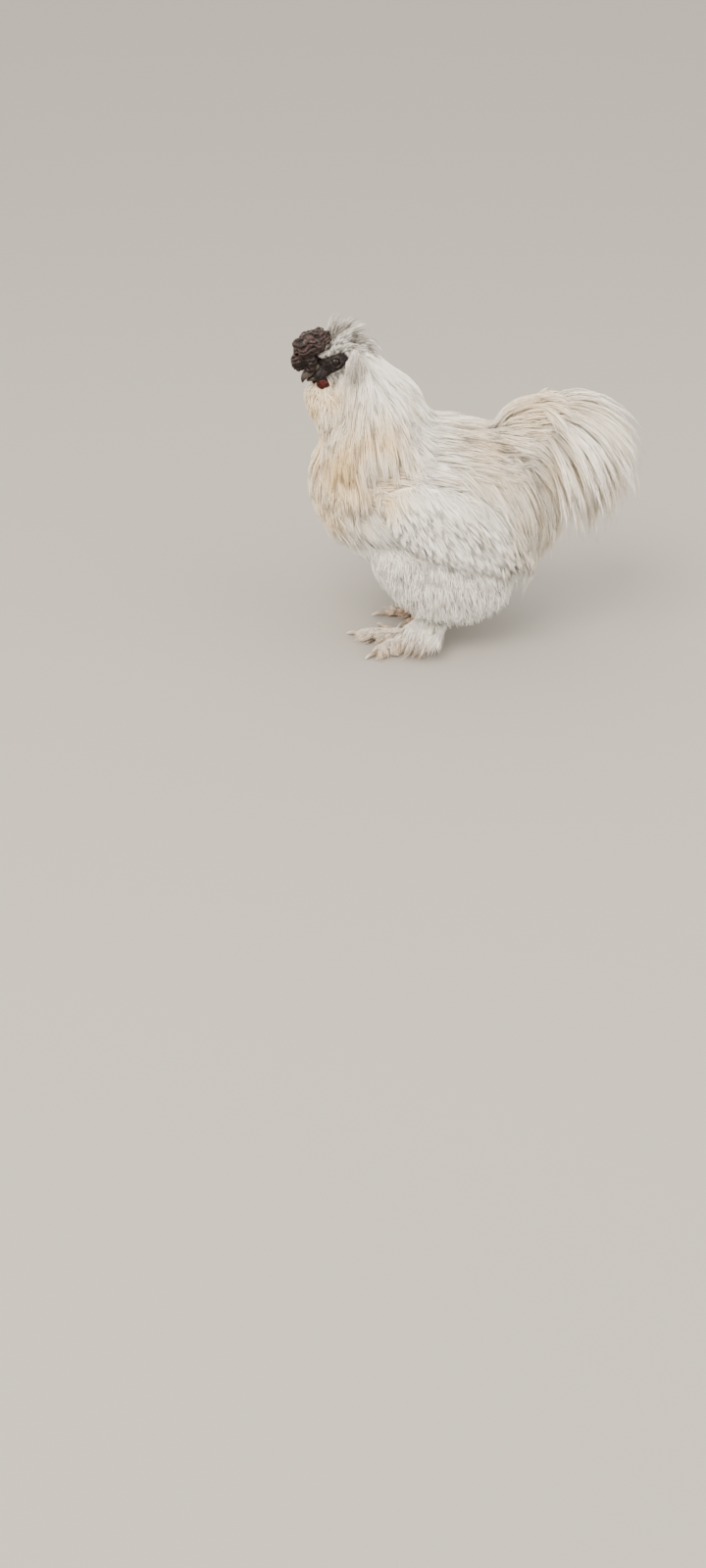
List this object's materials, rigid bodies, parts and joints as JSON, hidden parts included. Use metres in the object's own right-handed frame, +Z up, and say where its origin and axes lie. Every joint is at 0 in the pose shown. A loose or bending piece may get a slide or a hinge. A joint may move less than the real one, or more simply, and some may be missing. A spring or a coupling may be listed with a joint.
{
  "type": "silkie chicken",
  "caption": "Life-size silkie cock standing still, with a crest, walnut comb, wattles, silky coat, arched tail and feathered feet.",
  "frame": {"origin": "on the ground under the middle of the whole model", "axes": "+Z up, the bird faces -X, its left side is -Y"},
  "size_m": [0.377, 0.1928, 0.3575],
  "materials": {
    "plumage": "soft silky feathers, white with a cream to buff tint on the hackle and tail",
    "face": "bluish black skin, finely wrinkled",
    "comb": "dark mulberry, knobbly, with a dull sheen",
    "wattle": "deep red, smooth folds",
    "lobe": "slate blue skin",
    "eye": "wet and almost black",
    "beak": "horn, darker at the tip",
    "claw": "pale horn",
    "foot": "dusty scaled skin under feathers"
  },
  "bodies": {
    "root": {"eye_left": "eye", "eye_right": "eye", "claw_left_inner": "claw", "claw_left_middle": "claw", "claw_left_outer": "claw", "claw_left_hind": "claw", "claw_left_fifth": "claw", "claw_right_inner": "claw", "claw_right_middle": "claw", "claw_right_outer": "claw", "claw_right_hind": "claw", "claw_right_fifth": "claw", "comb": "comb", "upper_beak": "beak", "lower_beak": "beak", "wattle_left": "wattle", "wattle_right": "wattle", "earlobe_left": "lobe", "earlobe_right": "lobe", "head": "face", "foot_left": "foot", "foot_right": "foot", "shank_left": "foot", "shank_right": "foot", "torso": "plumage", "thigh_left": "plumage", "thigh_right": "plumage", "neck": "plumage", "wing_left": "plumage", "wing_right": "plumage", "tail": "plumage"}
  },
  "joints": []
}
